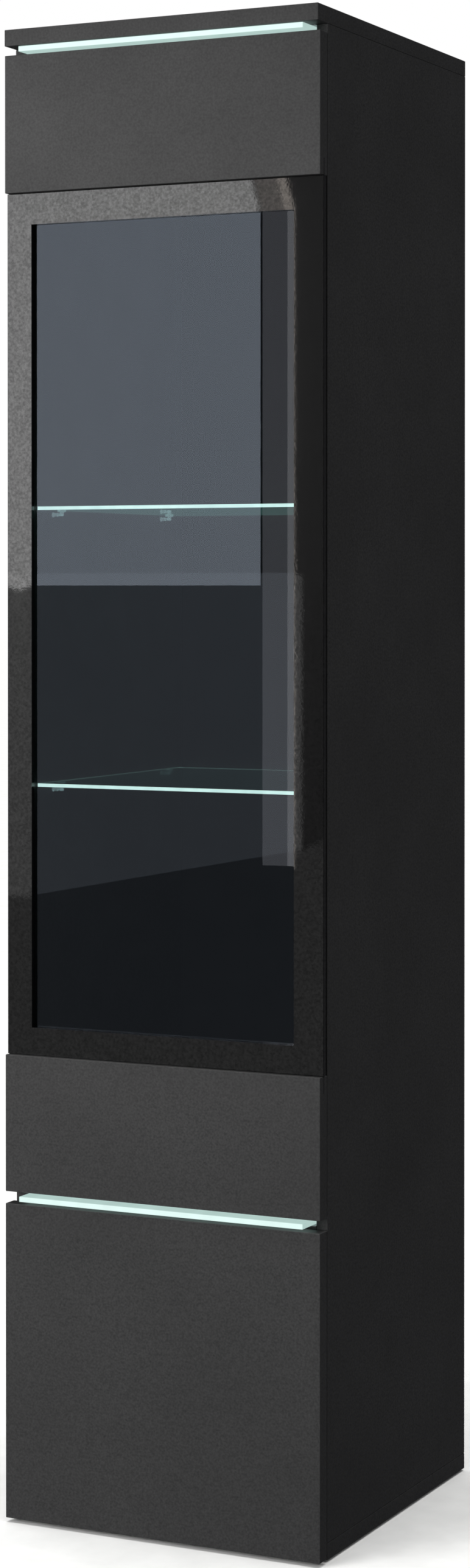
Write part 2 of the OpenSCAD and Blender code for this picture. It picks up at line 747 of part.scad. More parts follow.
// Angle bracket under the top board. Its hole takes the screw into the wall.
module bracket_place() translate([0, y_back_panel - bracket_leg / 2, bracket_z]) children();
module wall_bracket() {
    color("silver") difference() {
        union() {
            block([-bracket_w / 2, y_back_panel - bracket_leg, z_roof - bracket_t],
                [bracket_w / 2, y_back_panel, z_roof]);
            block([-bracket_w / 2, y_back_panel - bracket_t, z_roof - bracket_leg],
                [bracket_w / 2, y_back_panel, z_roof]);
        }
        bracket_place() translate([0, 0, -5]) cylinder(r = screw_r + screw_clear, h = 10);
        bar_y(0, y_back_panel - 10, y_back_panel + 1, z_roof - wall_hole_drop, wall_hole_r);
    }
}
module bracket_screw() {
    color("silver") bracket_place() translate([0, 0, -bracket_t]) mirror([0, 0, 1]) screw();
}

// ---- upper door ----

module tongue_groove(z0, z1) {
    block([-far, y_tongue - fit, z0], [far, y_tongue + tongue_t + fit, z1]);
}
module upper_door_top_panel() {
    color("#454545") difference() {
        board([-door_hw, y_door, z_upper_door_top - band_h], [door_hw, y_door_back, z_upper_door_top]);
        tongue_groove(z_upper_door_top - band_h - 1, z_frame_top + seam + tongue_h + fit);
        at_hinges([upper_hinge_zs[2], upper_hinge_zs[3]]) cup_recess();
    }
}
module upper_door_bottom_panel() {
    color("#424242") difference() {
        board([-door_hw, y_door, z_upper_door], [door_hw, y_door_back, z_upper_door + band_h]);
        tongue_groove(z_frame - seam - tongue_h - fit, z_upper_door + band_h + 1);
        at_hinges([upper_hinge_zs[0], upper_hinge_zs[1]]) cup_recess();
    }
}
module glass_frame() {
    color("#1a1a1a") difference() {
        union() {
            board([-frame_hw, y_frame, z_frame], [frame_hw, y_frame_back, z_frame_top], 0.5);
            block([-door_hw, y_tongue, z_frame - seam - tongue_h],
                [door_hw, y_tongue + tongue_t, z_frame_top + seam + tongue_h]);
        }
        block([win_x0, y_frame - 1, win_z0], [win_x1, y_frame_back + 1, win_z1]);
    }
}
module glass_gasket() {
    color("#101010") difference() {
        block([win_x0 - pane_lap, y_frame_back, win_z0 - pane_lap],
            [win_x1 + pane_lap, y_pane, win_z1 + pane_lap]);
        block([win_x0 - 1, y_frame_back - 1, win_z0 - 1], [win_x1 + 1, y_pane + 1, win_z1 + 1]);
    }
}
module door_glass() {
    color([0.6, 0.65, 0.7, 0.3])
        board([win_x0 - pane_lap, y_pane, win_z0 - pane_lap],
            [win_x1 + pane_lap, y_pane + pane_t, win_z1 + pane_lap], 0.5);
}

// ---- lower door ----

module lower_door_panel() {
    color("#404040") difference() {
        board([-door_hw, y_door, z_lower_door], [door_hw, y_door_back, z_lower_door_top]);
        at_hinges(lower_hinge_zs) cup_recess();
    }
}

top_board();
bottom_board();
left_side_panel();
right_side_panel();
back_panel();
divider_board();
top_rail();
lower_glass_shelf();
upper_glass_shelf();
lower_shelf_supports();
upper_shelf_supports();
top_light_bar();
lower_light_bar();
top_light_channel();
lower_light_channel();
top_led_strip();
lower_led_strip();
led_driver();
driver_screws();
cable_grommet();
hinge_plates();
hinge_arms();
hinge_plate_screws();
latch_housings();
latch_screws();
cam_locks();
cam_bolts();
dowels();
back_panel_screws();
wall_bracket();
bracket_screw();
glides();
upper_door_top_panel();
upper_door_bottom_panel();
glass_frame();
glass_gasket();
door_glass();
upper_hinge_cups();
upper_cup_screws();
upper_strike_plates();
upper_hinge_links();
lower_door_panel();
lower_hinge_cups();
lower_cup_screws();
lower_strike_plate();
lower_hinge_links();
upper_door_top_plunger();
upper_door_bottom_plunger();
lower_door_plunger();
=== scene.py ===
import math

import bmesh
import bpy
import numpy as np
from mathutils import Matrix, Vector


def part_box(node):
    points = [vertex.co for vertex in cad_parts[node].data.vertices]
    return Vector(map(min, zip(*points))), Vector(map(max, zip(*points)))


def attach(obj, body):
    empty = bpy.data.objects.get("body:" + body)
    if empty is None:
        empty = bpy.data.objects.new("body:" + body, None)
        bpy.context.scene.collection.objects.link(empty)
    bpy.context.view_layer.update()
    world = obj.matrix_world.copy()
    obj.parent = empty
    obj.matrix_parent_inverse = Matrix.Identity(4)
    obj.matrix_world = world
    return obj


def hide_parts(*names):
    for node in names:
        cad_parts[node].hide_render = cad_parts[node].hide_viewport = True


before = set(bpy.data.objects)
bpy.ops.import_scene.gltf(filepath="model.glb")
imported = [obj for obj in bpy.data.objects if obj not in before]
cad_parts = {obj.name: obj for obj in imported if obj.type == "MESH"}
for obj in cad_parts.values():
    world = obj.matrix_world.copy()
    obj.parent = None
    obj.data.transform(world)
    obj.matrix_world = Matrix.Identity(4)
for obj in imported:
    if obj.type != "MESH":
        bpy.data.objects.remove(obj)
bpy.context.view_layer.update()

scene = bpy.context.scene
mm = 0.001
black = (0, 0, 0, 1)
white = (1, 1, 1, 1)
noiseLow, noiseHigh = 0.3, 0.7  # nearly all values of a noise lie between these


def linear(hexColour, alpha=1.0):
    # sRGB hex to linear light, by the sRGB curve
    values = [int(hexColour[i:i + 2], 16) / 255 for i in (1, 3, 5)]
    return tuple(v / 12.92 if v <= 0.04045 else ((v + 0.055) / 1.055) ** 2.4 for v in values) + (alpha,)


def addNode(tree, kind, inputs=None, **settings):
    # one node with its settings; an input is a value, or the socket that it is linked from
    node = tree.nodes.new(kind)
    for name, value in settings.items():
        setattr(node, name, value)
    for name, value in (inputs or {}).items():
        if isinstance(value, bpy.types.NodeSocket):
            tree.links.new(value, node.inputs[name])
        else:
            node.inputs[name].default_value = value
    return node


def shaderMaterial(name):
    # an empty material with its tree, a Principled shader and the object's own coordinates
    material = bpy.data.materials.new(name)
    material.use_nodes = True
    tree = material.node_tree
    tree.nodes.clear()
    shader = addNode(tree, "ShaderNodeBsdfPrincipled")
    addNode(tree, "ShaderNodeOutputMaterial", {"Surface": shader.outputs["BSDF"]})
    place = addNode(tree, "ShaderNodeTexCoord").outputs["Object"]
    return material, tree, shader, place


def grain(tree, place, size, detail=3.0, stretch=(1, 1, 1)):
    # noise with 1000 / size spots in a metre, so each is about size millimetres across; stretch draws
    # the spots out along an axis
    scaled = addNode(tree, "ShaderNodeMapping", {
        "Vector": place, "Scale": tuple(1000 / size / s for s in stretch)})
    return addNode(tree, "ShaderNodeTexNoise", {
        "Vector": scaled.outputs["Vector"], "Scale": 1.0, "Detail": detail,
        "Roughness": 0.55}).outputs["Fac"]


def between(tree, noise, low, high):
    # a number that runs from low to high with a noise
    return addNode(tree, "ShaderNodeMapRange", {
        "Value": noise, "From Min": noiseLow, "From Max": noiseHigh,
        "To Min": low, "To Max": high}).outputs["Result"]


def blended(tree, factor, first, second):
    # from the first to the second colour as factor runs from 0 to 1; each may be a socket or a value
    node = addNode(tree, "ShaderNodeMix", data_type="RGBA")
    factorInput, firstInput, secondInput = node.inputs[0], node.inputs[6], node.inputs[7]
    for socket, value in ((factorInput, factor), (firstInput, first), (secondInput, second)):
        if isinstance(value, bpy.types.NodeSocket):
            tree.links.new(value, socket)
        else:
            socket.default_value = value
    return node.outputs[2]


def relief(tree, height, depth):
    # bump whose full height is depth millimetres
    return addNode(tree, "ShaderNodeBump", {
        "Height": height, "Distance": depth * mm, "Strength": 1.0}).outputs["Normal"]


boardSheen = {"ior": 1.5, "swing": 0.05}  # swing: how far the roughness goes up and down


def boardMaterial(name, look):
    # Melamine faced chipboard or matt lacquered MDF: a pressed pearl texture gives a soft, slightly
    # mottled dark face. The real pearl is 0.3 mm; the spots are drawn larger so that they show.
    material, tree, shader, place = shaderMaterial(name)
    pearl = grain(tree, place, look["pearl"], 4.0)
    cloud = grain(tree, place, look["cloud"], 2.0)
    fibre = grain(tree, place, look["fibre"], 3.0, look["fibreRun"])
    base = blended(tree, between(tree, pearl, 0, 1), linear(look["dark"]), linear(look["light"]))
    base = blended(tree, between(tree, fibre, 0, look["fibreShare"]), base, linear(look["light"]))
    base = blended(tree, between(tree, cloud, 0, look["cloudShare"]), base, linear(look["dark"]))
    arris = addNode(tree, "ShaderNodeAttribute", attribute_name="arris").outputs["Fac"]
    worn = addNode(tree, "ShaderNodeMath", {0: arris, 1: look["wear"]}, operation="MULTIPLY")
    base = blended(tree, worn.outputs[0], base, linear(look["worn"]))
    tree.links.new(base, shader.inputs["Base Color"])
    rough = between(tree, cloud, look["rough"] - boardSheen["swing"], look["rough"] + boardSheen["swing"])
    tree.links.new(rough, shader.inputs["Roughness"])
    tree.links.new(relief(tree, pearl, look["depth"]), shader.inputs["Normal"])
    shader.inputs["IOR"].default_value = boardSheen["ior"]
    return material


boardLooks = {
    "melamineCarcass": {"dark": "#272727", "light": "#3d3d3d", "worn": "#4a4a4a", "wear": 0.35,
                        "pearl": 3.0, "cloud": 180, "fibre": 5, "fibreRun": (1, 1, 9),
                        "fibreShare": 0.25, "cloudShare": 0.3, "rough": 0.5, "depth": 0.012},
    "lacqueredDoor": {"dark": "#282828", "light": "#3d3d3d", "worn": "#505050", "wear": 0.3,
                      "pearl": 2.8, "cloud": 220, "fibre": 4, "fibreRun": (8, 1, 1),
                      "fibreShare": 0.2, "cloudShare": 0.25, "rough": 0.48, "depth": 0.01},
    "hardboardBack": {"dark": "#1f1f1f", "light": "#292929", "worn": "#383634", "wear": 0.3,
                      "pearl": 3.0, "cloud": 90, "fibre": 3, "fibreRun": (1, 1, 3),
                      "fibreShare": 0.4, "cloudShare": 0.4, "rough": 0.6, "depth": 0.012},
}
boardMaterials = {name: boardMaterial(name, look) for name, look in boardLooks.items()}

frameLook = {"base": "#070707", "speck": "#0f0f0f", "speckSize": 3.4, "rough": 0.24, "under": 0.1,
             "sheen": 0.5, "coatRough": 0.02, "coatIor": 1.68, "depth": 0.006}


def frameMaterial():
    # Aluminium border in polished black stove enamel: a near mirror over black. The orange peel of
    # sprayed enamel lowers the coat to sheen in places, so a reflection looks grainy. The real peel is
    # 1 mm; its spots are drawn larger so that they show.
    material, tree, shader, place = shaderMaterial("stoveEnamelBlack")
    peel = grain(tree, place, frameLook["speckSize"])
    tree.links.new(blended(tree, between(tree, peel, 0, 1), linear(frameLook["base"]),
                           linear(frameLook["speck"])), shader.inputs["Base Color"])
    tree.links.new(relief(tree, peel, frameLook["depth"]), shader.inputs["Normal"])
    tree.links.new(relief(tree, peel, frameLook["depth"]), shader.inputs["Coat Normal"])
    shader.inputs["Roughness"].default_value = frameLook["rough"]
    shader.inputs["Specular IOR Level"].default_value = frameLook["under"]
    tree.links.new(between(tree, peel, frameLook["sheen"], 1.0), shader.inputs["Coat Weight"])
    shader.inputs["Coat Roughness"].default_value = frameLook["coatRough"]
    shader.inputs["Coat IOR"].default_value = frameLook["coatIor"]
    return material


glassLooks = {
    "paneFloatGlass": {"clear": "#e9eef0", "film": "#d5dde2", "filmSize": 160, "rough": 0.0,
                       "ior": 1.53, "tint": "#d5e2f4"},
    # on the shelves, rim is the green of a ground edge; glow and deep are the mint and teal of a painted
    # glow for the light inside the sheet
    "shelfFloatGlass": {"clear": "#e6f7f2", "film": "#cfeee6", "filmSize": 120, "rough": 0.01,
                        "ior": 1.52, "tint": "#ffffff", "rim": "#8fe6d2", "glow": "#e0fff8",
                        "deep": "#438a80", "glowShare": 1.12, "rippleSize": 14, "rippleLow": 0.85},
}


def glassMaterial(name, look):
    # Float glass: clear with a trace of green and a polished face. On the shelves each face's rim value
    # tints it with the green of a ground edge and gives it a painted glow, from dim teal to mint white,
    # that stands in for the light carried inside the sheet. The faint film of handling varies its tint.
    material, tree, shader, place = shaderMaterial(name)
    film = grain(tree, place, look["filmSize"], 2.0)
    base = blended(tree, between(tree, film, 0, 1), linear(look["clear"]), linear(look["film"]))
    shader.inputs["Roughness"].default_value = look["rough"]
    shader.inputs["IOR"].default_value = look["ior"]
    shader.inputs["Specular Tint"].default_value = linear(look["tint"])
    if "rim" in look:
        rim = addNode(tree, "ShaderNodeAttribute", attribute_name="rim").outputs["Fac"]
        ripple = between(tree, grain(tree, place, look["rippleSize"], 2.0), look["rippleLow"], 1.0)
        base = blended(tree, rim, base, linear(look["rim"]))
        paintedGlowShare = addNode(tree, "ShaderNodeMath", {0: rim, 1: ripple}, operation="MULTIPLY")
        # painted glow: dim teal where a face's rim value is low, mint white where it is high, made uneven
        # by the ripple
        glow = blended(tree, rim, linear(look["deep"]), linear(look["glow"]))
        glow = blended(tree, paintedGlowShare.outputs[0], black, glow)
        tree.links.new(glow, shader.inputs["Emission Color"])
        shader.inputs["Emission Strength"].default_value = look["glowShare"]
        solid = addNode(tree, "ShaderNodeMath", {0: 1.0, 1: rim}, operation="SUBTRACT")
        tree.links.new(solid.outputs[0], shader.inputs["Transmission Weight"])
    else:
        shader.inputs["Transmission Weight"].default_value = 1.0
    tree.links.new(base, shader.inputs["Base Color"])
    return material


barLook = {"face": "#e6fffa", "side": "#b4cfc9", "base": (0.02, 0.024, 0.023, 1), "strength": 1.0,
           "streak": 30, "streakRun": (1, 8, 8), "streakLow": 0.92, "rough": 0.3}


def barMaterial():
    # Frosted acrylic light guide: its front edge sends out nearly all the light, cool white with a trace
    # of green, and its broad faces only what leaks. Faint streaks follow the light sources behind it.
    material, tree, shader, place = shaderMaterial("frostedAcrylicGuide")
    front = addNode(tree, "ShaderNodeAttribute", attribute_name="front").outputs["Fac"]
    streak = grain(tree, place, barLook["streak"], 2.0, barLook["streakRun"])
    streak = between(tree, streak, barLook["streakLow"], 1.0)
    glow = blended(tree, front, linear(barLook["side"]), linear(barLook["face"]))
    glow = blended(tree, streak, black, glow)
    tree.links.new(glow, shader.inputs["Emission Color"])
    shader.inputs["Emission Strength"].default_value = barLook["strength"]
    tree.links.new(blended(tree, streak, black, barLook["base"]), shader.inputs["Base Color"])
    shader.inputs["Roughness"].default_value = barLook["rough"]
    return material


smallCommon = {"ior": 1.5, "swing": 0.06, "broad": 9, "broadShare": 0.35}  # of all the small materials


def speckledMaterial(name, look):
    # Plastics, rubber and metals: two close tones in a grain of a real size, roughness that follows the
    # grain, and a shallow relief. Metals keep the default IOR; their satin oxide skin scatters a part of
    # the light, so they are not wholly metallic.
    material, tree, shader, place = shaderMaterial(name)
    spots = grain(tree, place, look["size"], stretch=look.get("run", (1, 1, 1)))
    broad = grain(tree, place, look["size"] * smallCommon["broad"], 2.0)
    base = blended(tree, between(tree, spots, 0, 1), linear(look["dark"]), linear(look["light"]))
    base = blended(tree, between(tree, broad, 0, smallCommon["broadShare"]), base, linear(look["dark"]))
    tree.links.new(base, shader.inputs["Base Color"])
    rough = between(tree, spots, look["rough"] - smallCommon["swing"], look["rough"] + smallCommon["swing"])
    tree.links.new(rough, shader.inputs["Roughness"])
    tree.links.new(relief(tree, spots, look["depth"]), shader.inputs["Normal"])
    shader.inputs["Metallic"].default_value = look.get("metal", 0.0)
    if not look.get("metal"):
        shader.inputs["IOR"].default_value = look.get("ior", smallCommon["ior"])
    if "clear" in look:
        shader.inputs["Transmission Weight"].default_value = look["clear"]
    # emission: the LED tape's own light; on the clear supports, a painted glow
    if "glow" in look:
        shader.inputs["Emission Color"].default_value = linear(look["glow"])
        shader.inputs["Emission Strength"].default_value = look["glowStrength"]
    return material


smallLooks = {
    # nickel plated pressed steel: bright, slightly warm, fine lines along the press direction
    "nickelPlatedSteel": {"dark": "#b4b1ab", "light": "#c4c1bb", "size": 0.35, "run": (1, 14, 1),
                          "rough": 0.33, "depth": 0.0006, "metal": 0.6},
    # zinc plated screw steel: bluish grey and duller
    "zincPlatedScrew": {"dark": "#8f9498", "light": "#b3b8bc", "size": 0.5, "rough": 0.36,
                        "depth": 0.0015, "metal": 0.6},
    # die cast zinc of the cams: matt grey with a grainy skin
    "dieCastZinc": {"dark": "#77797c", "light": "#8f9194", "size": 0.7, "rough": 0.5,
                    "depth": 0.01, "metal": 0.5},
    # yellow passivated steel bolts: a thin golden film, a little blotchy
    "yellowZincBolt": {"dark": "#a38f4e", "light": "#c7b36c", "size": 0.6, "rough": 0.36,
                       "depth": 0.004, "metal": 0.6},
    # natural anodised aluminium extrusion: satin, lines along its length
    "anodisedAluminium": {"dark": "#9b9da0", "light": "#b4b6b9", "size": 0.5, "run": (40, 1, 1),
                          "rough": 0.38, "depth": 0.004, "metal": 0.6},
    # moulded polyamide of glides, grommet and latches: black with a fine spark-eroded skin
    "mouldedPolyamide": {"dark": "#161616", "light": "#202020", "size": 0.6, "rough": 0.55, "depth": 0.04},
    # extruded rubber strip: dull black with a soft bloom
    "gasketRubber": {"dark": "#0e0e0e", "light": "#181818", "size": 0.8, "rough": 0.75, "depth": 0.03},
    # moulded white ABS housing of the supply unit: an even satin skin
    "mouldedAbsWhite": {"dark": "#d9d9d5", "light": "#e8e8e5", "size": 0.8, "rough": 0.45, "depth": 0.03},
    # acetal plunger: waxy off-white
    "acetalWhite": {"dark": "#cfcfcc", "light": "#dcdcd9", "size": 0.9, "rough": 0.38, "depth": 0.02,
                    "ior": 1.48},
    # moulded clear polycarbonate of the shelf supports, with a faint painted glow for the shelves' light
    # that it passes on
    "clearPolycarbonate": {"dark": "#dfeeee", "light": "#f2fafa", "size": 3, "rough": 0.1, "depth": 0.01,
                           "ior": 1.58, "clear": 0.75, "glow": "#9fb8ba", "glowStrength": 0.12},
    # turned beech dowels: pale pinkish wood with lines along the grain
    "turnedBeech": {"dark": "#b98f63", "light": "#d3ad80", "size": 1.2, "run": (1, 1, 14),
                    "rough": 0.62, "depth": 0.05},
    # white circuit tape with its light sources
    "ledTape": {"dark": "#e4e2da", "light": "#f5f4ee", "size": 2.0, "rough": 0.5, "depth": 0.02,
                "glow": "#e8f6ff", "glowStrength": 1.5},
}
smallMaterials = {name: speckledMaterial(name, look) for name, look in smallLooks.items()}
paneGlass = glassMaterial("paneFloatGlass", glassLooks["paneFloatGlass"])
shelfGlass = glassMaterial("shelfFloatGlass", glassLooks["shelfFloatGlass"])
frameEnamel = frameMaterial()
barAcrylic = barMaterial()
print("materials ready:", len(bpy.data.materials))


doublesWithin = 1e-6  # metres


def linkMesh(name, points, faces, smooth=True):
    # a new object from arrays of points and faces, its doubles merged and its faces turned outwards
    mesh = bpy.data.meshes.new(name)
    mesh.from_pydata(points.tolist(), [], faces)
    piece = bpy.data.objects.new(name, mesh)
    scene.collection.objects.link(piece)
    work = bmesh.new()
    work.from_mesh(mesh)
    bmesh.ops.remove_doubles(work, verts=work.verts, dist=doublesWithin)
    bmesh.ops.recalc_face_normals(work, faces=work.faces)
    work.to_mesh(mesh)
    work.free()
    if smooth:
        mesh.shade_smooth()
    return piece


def gridFaces(rows, columns):
    # quads of a grid whose columns close on themselves: row r, column c is point r * columns + c
    r, c = np.meshgrid(np.arange(rows - 1), np.arange(columns), indexing="ij")
    here, there = r * columns + c, r * columns + (c + 1) % columns
    return np.stack([here, there, there + columns, here + columns], -1).reshape(-1, 4).tolist()


def roundedSlab(name, low, high, radius):
    # Box with rounded edges. A point is the nearest inner corner plus radius times a direction:
    # p(u, v) = corner(sign of direction) + radius * (cos v cos u, cos v sin u, sin v).
    steps = 4  # facets round each edge
    low, high = np.array(low), np.array(high)
    centre, half = (low + high) / 2, (high - low) / 2 - radius
    quarter = np.linspace(0, np.pi / 2, steps + 1)
    u = (quarter[None, :] + np.arange(4)[:, None] * np.pi / 2).ravel()
    signX = np.repeat([1, -1, -1, 1], steps + 1)
    signY = np.repeat([1, 1, -1, -1], steps + 1)
    v = np.concatenate([-quarter[::-1], quarter])
    signZ = np.repeat([-1, 1], steps + 1)
    direction = np.stack([np.cos(v)[:, None] * np.cos(u), np.cos(v)[:, None] * np.sin(u),
                          np.sin(v)[:, None] * np.ones_like(u)], -1)
    corner = np.stack(np.broadcast_arrays(signX[None, :] * half[0], signY[None, :] * half[1],
                                          signZ[:, None] * half[2]), -1)
    points = (centre + corner + radius * direction).reshape(-1, 3)
    rows, columns = len(v), len(u)
    faces = gridFaces(rows, columns)
    faces.append(list(range(columns))[::-1])
    faces.append([(rows - 1) * columns + i for i in range(columns)])
    return linkMesh(name, points, faces)


def keepFlatFacesFlat(piece):
    # broad faces keep their own normal, so that only the rounded edges shade round
    bend = piece.modifiers.new("weightedNormals", "WEIGHTED_NORMAL")
    bend.keep_sharp = True
    bend.weight = 90  # well over the even 50, so the large faces lead


def paint(piece, material):
    # one material all over
    piece.data.materials.clear()
    piece.data.materials.append(material)


def faceValues(piece, name, values):
    # one number for each face, for a material to read
    attribute = piece.data.attributes.new(name, "FLOAT", "FACE")
    attribute.data.foreach_set("value", np.asarray(values, np.float32))


def faceNormals(piece):
    # each face's normal, one row for a face
    normals = np.zeros(len(piece.data.polygons) * 3, np.float32)
    piece.data.polygons.foreach_get("normal", normals)
    return normals.reshape(-1, 3)


def takePlace(piece, node, material, body):
    # the piece gets its material and body, and stands for the node
    paint(piece, material)
    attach(piece, body)
    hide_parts(node)


# merge in metres, angles in degrees; a face whose normal lies closer than squareNormal to an axis is flat
boardMesh = {"merge": 5e-6, "flatAngle": 0.5, "sharpAngle": 50, "squareNormal": 0.98}


def mergedBoard(node, name, material, body):
    # The board with all its cut-outs: the frame's triangles merged and its flat faces joined again.
    # Faces that lie across an arris are marked, so that the material can wear them.
    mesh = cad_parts[node].data.copy()
    piece = bpy.data.objects.new(name, mesh)
    scene.collection.objects.link(piece)
    work = bmesh.new()
    work.from_mesh(mesh)
    bmesh.ops.remove_doubles(work, verts=work.verts, dist=boardMesh["merge"])
    bmesh.ops.dissolve_limit(work, angle_limit=math.radians(boardMesh["flatAngle"]),
                             verts=work.verts, edges=work.edges)
    for edge in work.edges:
        edge.smooth = edge.calc_face_angle(0) < math.radians(boardMesh["sharpAngle"])
    work.to_mesh(mesh)
    work.free()
    mesh.shade_smooth()
    faceValues(piece, "arris", np.abs(faceNormals(piece)).max(axis=1) < boardMesh["squareNormal"])
    keepFlatFacesFlat(piece)
    takePlace(piece, node, material, body)


cameraLook = {"place": (1.898, -3.9155, 1.260), "yaw": 25.98, "pitch": -0.588, "lens": 72.38,
              "sensor": 36, "shift": -0.106, "farthest": 200}
camera = bpy.data.objects.new("camera", bpy.data.cameras.new("camera"))
scene.collection.objects.link(camera)
camera.location = cameraLook["place"]
camera.rotation_euler = (math.radians(90 + cameraLook["pitch"]), 0, math.radians(cameraLook["yaw"]))
camera.data.sensor_width = cameraLook["sensor"]
camera.data.lens = cameraLook["lens"]
camera.data.shift_y = cameraLook["shift"]
camera.data.clip_end = cameraLook["farthest"]
scene.camera = camera
scene.view_settings.view_transform = "Standard"

floorLook = {"reach": 60, "base": "#f3f3f1", "fleck": "#ebebe9", "fleckSize": 60, "rough": 0.9,
             "shine": 0.0}
floorPoints = floorLook["reach"] * np.array([[-1, -1, 0], [1, -1, 0], [1, 1, 0], [-1, 1, 0]], float)
floor = linkMesh("floor", floorPoints, [[0, 1, 2, 3]], smooth=False)
floorMaterial, floorTree, floorShader, floorPlace = shaderMaterial("paleFloor")
floorGrain = grain(floorTree, floorPlace, floorLook["fleckSize"])
floorTree.links.new(blended(floorTree, between(floorTree, floorGrain, 0, 1), linear(floorLook["base"]),
                            linear(floorLook["fleck"])), floorShader.inputs["Base Color"])
floorShader.inputs["Roughness"].default_value = floorLook["rough"]
floorShader.inputs["Specular IOR Level"].default_value = floorLook["shine"]
paint(floor, floorMaterial)

halfBounce = 0.5  # a ray's depth over this means that it has bounced at least once


def bouncedRays(tree):
    # 1 for a ray that a mirror or a matt surface has already turned, and the node that counts the turns
    path = addNode(tree, "ShaderNodeLightPath")
    total = addNode(tree, "ShaderNodeMath", {
        0: path.outputs["Glossy Depth"], 1: path.outputs["Diffuse Depth"]}, operation="ADD")
    bounced = addNode(tree, "ShaderNodeMath", {0: total.outputs[0], 1: halfBounce},
                      operation="GREATER_THAN")
    return bounced.outputs[0], path


# the floor is seen straight and through the pane, and takes shadows, but the cabinet doesn't mirror it
floorBounced = bouncedRays(floorTree)[0]
floorClear = addNode(floorTree, "ShaderNodeBsdfTransparent")
floorMix = addNode(floorTree, "ShaderNodeMixShader", {
    0: floorBounced, 1: floorShader.outputs["BSDF"], 2: floorClear.outputs["BSDF"]})
floorOutput = next(n for n in floorTree.nodes if n.type == "OUTPUT_MATERIAL")
floorTree.links.new(floorMix.outputs["Shader"], floorOutput.inputs["Surface"])

# the studio is white to the eye, grey to a matt surface and nearly black to a mirror
worldLook = {"seen": white, "diffuse": (0.2, 0.2, 0.205, 1), "glossy": (0.05, 0.05, 0.053, 1)}
world = bpy.data.worlds.new("studio")
scene.world = world
world.use_nodes = True
worldTree = world.node_tree
worldTree.nodes.clear()
worldBounced, worldPath = bouncedRays(worldTree)
mirrored = addNode(worldTree, "ShaderNodeMath", {
    0: worldPath.outputs["Glossy Depth"], 1: halfBounce}, operation="GREATER_THAN")
worldColour = blended(worldTree, mirrored.outputs[0], worldLook["diffuse"], worldLook["glossy"])
worldColour = blended(worldTree, worldBounced, worldLook["seen"], worldColour)
background = addNode(worldTree, "ShaderNodeBackground", {"Color": worldColour})
addNode(worldTree, "ShaderNodeOutputWorld", {"Surface": background.outputs[0]})


def softLight(name, look):
    # rectangular soft box that faces its aim; the cabinet mirrors it only where its look says so
    data = bpy.data.lights.new(name, "AREA")
    data.shape = "RECTANGLE"
    data.size, data.size_y = look["size"]
    data.energy = look["watts"]
    data.color = look.get("tint", (1, 1, 1))
    light = bpy.data.objects.new(name, data)
    scene.collection.objects.link(light)
    light.location = look["place"]
    towards = Vector(look["aim"]) - Vector(look["place"])
    light.rotation_euler = towards.to_track_quat("-Z", "Y").to_matrix().to_euler()
    light.visible_camera = False
    light.visible_glossy = look.get("mirrored", False)
    light.visible_transmission = False


lightLooks = {
    # soft key at front left, at half the cabinet's height: the doors' faces
    "key": {"size": (2.2, 2.6), "watts": 186, "place": (-1.9, -3.9, 1.2), "aim": (0, -0.2, 1.0)},
    # weak fill from the right, high: the side panel
    "fill": {"size": (2.0, 2.0), "watts": 16, "place": (3.2, -0.6, 3.1), "aim": (0.2, 0, 1.2)},
    # upright card at front left, from eye height up, that the glass and the border mirror
    "card": {"size": (1.53, 1.9), "watts": 26, "place": (-2.065, -3.25, 2.21), "aim": (-2.065, 0, 2.21),
             "mirrored": True},
    # two narrow strips beside the bright card: the right part of the pane and of the top border
    "strip": {"size": (0.065, 2.75), "watts": 0.58, "place": (-1.2675, -3.26, 1.975),
              "aim": (-1.2675, 0, 1.975), "tint": (1.0, 0.91, 0.86), "mirrored": True},
    "narrowStrip": {"size": (0.025, 2.75), "watts": 0.55, "place": (-1.2225, -3.26, 1.975),
                    "aim": (-1.2225, 0, 1.975), "tint": (1.0, 0.9, 0.82), "mirrored": True},
}
for name, look in lightLooks.items():
    softLight(name, look)

ceilingLook = {"strength": 3.0, "spread": 60}  # wide light from straight above: the top and the floor
ceiling = bpy.data.objects.new("ceiling", bpy.data.lights.new("ceiling", "SUN"))
scene.collection.objects.link(ceiling)
ceiling.data.energy = ceilingLook["strength"]
ceiling.data.angle = math.radians(ceilingLook["spread"])
ceiling.visible_glossy = False

# Dim cards under the bright one, seen only as a mirror image in border and pane: one ends in a slanting
# edge, and a darker one goes on below that edge. Corners are (X, Z) in metres, on an upright plane.
cardPaper = {"plane": -3.32, "fleckSize": 400, "fleckLow": 0.95}
cardLooks = {
    "slantCard": {"corners": [(-2.9, 0.317), (-1.21, 0.637), (-1.21, 1.29), (-2.9, 1.29)],
                  "strength": 0.62},
    "groundCard": {"corners": [(-2.9, -0.8), (-0.3, -0.8), (-0.3, 0.81), (-1.21, 0.637), (-2.9, 0.317)],
                   "strength": 0.23},
}


def mirroredCard(name, look):
    # a flat glowing card that only mirrors see, and that gives the matt surfaces no light
    corners = np.array(look["corners"], float)
    points = np.stack([corners[:, 0], np.full(len(corners), cardPaper["plane"]), corners[:, 1]], -1)
    card = linkMesh(name, points, [list(range(len(points)))], smooth=False)
    material, tree, shader, place = shaderMaterial(name + "Paper")
    shader.inputs["Base Color"].default_value = black
    shade = between(tree, grain(tree, place, cardPaper["fleckSize"], 1.0), cardPaper["fleckLow"], 1.0)
    tree.links.new(blended(tree, shade, black, white), shader.inputs["Emission Color"])
    shader.inputs["Emission Strength"].default_value = look["strength"]
    paint(card, material)
    card.visible_camera = False
    card.visible_diffuse = False
    card.visible_transmission = False
    card.visible_shadow = False


for name, look in cardLooks.items():
    mirroredCard(name, look)
print("camera, floor and light ready")

